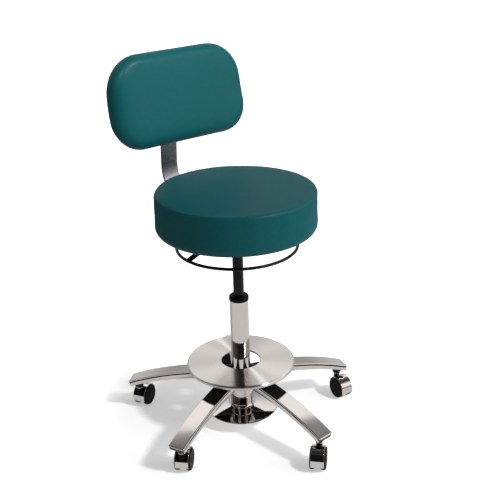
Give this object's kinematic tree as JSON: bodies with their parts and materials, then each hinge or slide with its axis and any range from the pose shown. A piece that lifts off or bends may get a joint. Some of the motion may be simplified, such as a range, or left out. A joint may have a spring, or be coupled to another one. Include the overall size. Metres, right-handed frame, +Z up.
{
  "type": "medical stool",
  "caption": "Round padded stool with a backrest on a gas lift, a ring-shaped height release, a foot disc and a legged base on twin-wheel casters.",
  "frame": {"origin": "on the floor, on the column axis", "axes": "+Z up, -Y the way the sitter faces, +X to the sitter's left"},
  "size_m": [0.614, 0.6386, 0.9737],
  "materials": {
    "vinyl": "satin vinyl over foam",
    "chrome": "polished",
    "steel": "brushed in circles",
    "black_paint": "satin black",
    "black_plastic": "moulded",
    "caster_wheel": "moulded tread",
    "zinc": "zinc plated",
    "board": "plywood"
  },
  "bodies": {
    "base": {"hub": "chrome", "leg_1": "chrome", "leg_2": "chrome", "leg_3": "chrome", "leg_4": "chrome", "leg_5": "chrome", "foot_disc": "steel", "disc_posts": "steel", "bell_cover": "chrome", "column_tube": "chrome", "column_bush": "black_plastic", "column_foot": "zinc", "thrust_bearing": "zinc", "caster_stem_1": "zinc", "caster_stem_2": "zinc", "caster_stem_3": "zinc", "caster_stem_4": "zinc", "caster_stem_5": "zinc"},
    "swivel": {"piston_rod": "zinc", "piston": "zinc", "retaining_clip": "zinc"},
    "seat_unit": {"gas_cylinder": "black_paint", "cylinder_gland": "zinc", "taper_socket": "black_paint", "seat_plate": "black_paint", "pivot_pin": "zinc", "plate_bolts": "zinc", "seat_board": "board", "seat_cushion": "vinyl", "back_bar": "chrome", "bar_bolts": "zinc", "back_bracket": "black_paint", "back_panel": "board", "back_cushion": "vinyl", "back_screws": "zinc"},
    "release": {"release_ring": "black_paint"},
    "valve": {"valve_pin": "zinc"},
    "caster_1": {"caster_hood_1": "chrome", "caster_axle_1": "zinc"},
    "wheel_left_1": {"wheel_left_1": "caster_wheel"},
    "wheel_right_1": {"wheel_right_1": "caster_wheel"},
    "caster_2": {"caster_hood_2": "chrome", "caster_axle_2": "zinc"},
    "wheel_left_2": {"wheel_left_2": "caster_wheel"},
    "wheel_right_2": {"wheel_right_2": "caster_wheel"},
    "caster_3": {"caster_hood_3": "chrome", "caster_axle_3": "zinc"},
    "wheel_left_3": {"wheel_left_3": "caster_wheel"},
    "wheel_right_3": {"wheel_right_3": "caster_wheel"},
    "caster_4": {"caster_hood_4": "chrome", "caster_axle_4": "zinc"},
    "wheel_left_4": {"wheel_left_4": "caster_wheel"},
    "wheel_right_4": {"wheel_right_4": "caster_wheel"},
    "caster_5": {"caster_hood_5": "chrome", "caster_axle_5": "zinc"},
    "wheel_left_5": {"wheel_left_5": "caster_wheel"},
    "wheel_right_5": {"wheel_right_5": "caster_wheel"}
  },
  "joints": [
    {"name": "seat_swivel", "type": "hinge", "parent": "base", "child": "swivel", "pos_m": [0, 0, 0.078], "axis": [0, 0, 1], "continuous": true},
    {"name": "seat_lift", "type": "slide", "parent": "swivel", "child": "seat_unit", "axis": [0, 0, 1], "range_m": [-0.14, 0]},
    {"name": "release_tilt", "type": "hinge", "parent": "seat_unit", "child": "release", "pos_m": [-0.04, 0, 0.544], "axis": [0, 1, 0], "range_deg": [0, 4], "stiffness_Nm_per_rad": 4, "springref_deg": -6.88},
    {"name": "valve_press", "type": "slide", "parent": "seat_unit", "child": "valve", "axis": [0, 0, 1], "range_m": [-0.003, 0]},
    {"name": "caster_swivel_1", "type": "hinge", "parent": "base", "child": "caster_1", "pos_m": [0.28288, -0.07633, 0.062], "axis": [0, 0, 1], "continuous": true},
    {"name": "wheel_left_spin_1", "type": "hinge", "parent": "caster_1", "child": "wheel_left_1", "pos_m": [0.29376, -0.10032, 0.029], "axis": [0.9877, -0.1564, 0], "continuous": true},
    {"name": "wheel_right_spin_1", "type": "hinge", "parent": "caster_1", "child": "wheel_right_1", "pos_m": [0.26512, -0.09579, 0.029], "axis": [0.9877, -0.1564, 0], "continuous": true},
    {"name": "caster_swivel_2", "type": "hinge", "parent": "base", "child": "caster_2", "pos_m": [0.16001, 0.24545, 0.062], "axis": [0, 0, 1], "continuous": true},
    {"name": "wheel_left_spin_2", "type": "hinge", "parent": "caster_2", "child": "wheel_left_2", "pos_m": [0.13476, 0.25298, 0.029], "axis": [-0.766, -0.6428, 0], "continuous": true},
    {"name": "wheel_right_spin_2", "type": "hinge", "parent": "caster_2", "child": "wheel_right_2", "pos_m": [0.15697, 0.27163, 0.029], "axis": [-0.766, -0.6428, 0], "continuous": true},
    {"name": "caster_swivel_3", "type": "hinge", "parent": "base", "child": "caster_3", "pos_m": [-0.18399, 0.22803, 0.062], "axis": [0, 0, 1], "continuous": true},
    {"name": "wheel_left_spin_3", "type": "hinge", "parent": "caster_3", "child": "wheel_left_3", "pos_m": [-0.17097, 0.25093, 0.029], "axis": [-0.454, 0.891, 0], "continuous": true},
    {"name": "wheel_right_spin_3", "type": "hinge", "parent": "caster_3", "child": "wheel_right_3", "pos_m": [-0.15781, 0.22509, 0.029], "axis": [-0.454, 0.891, 0], "continuous": true},
    {"name": "caster_swivel_4", "type": "hinge", "parent": "base", "child": "caster_4", "pos_m": [-0.27372, -0.10452, 0.062], "axis": [0, 0, 1], "continuous": true},
    {"name": "wheel_left_spin_4", "type": "hinge", "parent": "caster_4", "child": "wheel_left_4", "pos_m": [-0.26708, -0.07903, 0.029], "axis": [-0.6691, 0.7431, 0], "continuous": true},
    {"name": "wheel_right_spin_4", "type": "hinge", "parent": "caster_4", "child": "wheel_right_4", "pos_m": [-0.24767, -0.10058, 0.029], "axis": [-0.6691, 0.7431, 0], "continuous": true},
    {"name": "caster_swivel_5", "type": "hinge", "parent": "base", "child": "caster_5", "pos_m": [0.01482, -0.29263, 0.062], "axis": [0, 0, 1], "continuous": true},
    {"name": "wheel_left_spin_5", "type": "hinge", "parent": "caster_5", "child": "wheel_left_5", "pos_m": [0.00773, -0.318, 0.029], "axis": [0.6561, -0.7547, 0], "continuous": true},
    {"name": "wheel_right_spin_5", "type": "hinge", "parent": "caster_5", "child": "wheel_right_5", "pos_m": [-0.01129, -0.29612, 0.029], "axis": [0.6561, -0.7547, 0], "continuous": true}
  ],
  "couplings": [
    {"joint": "valve_press", "follows": "release_tilt", "m_per_rad": -0.04}
  ]
}
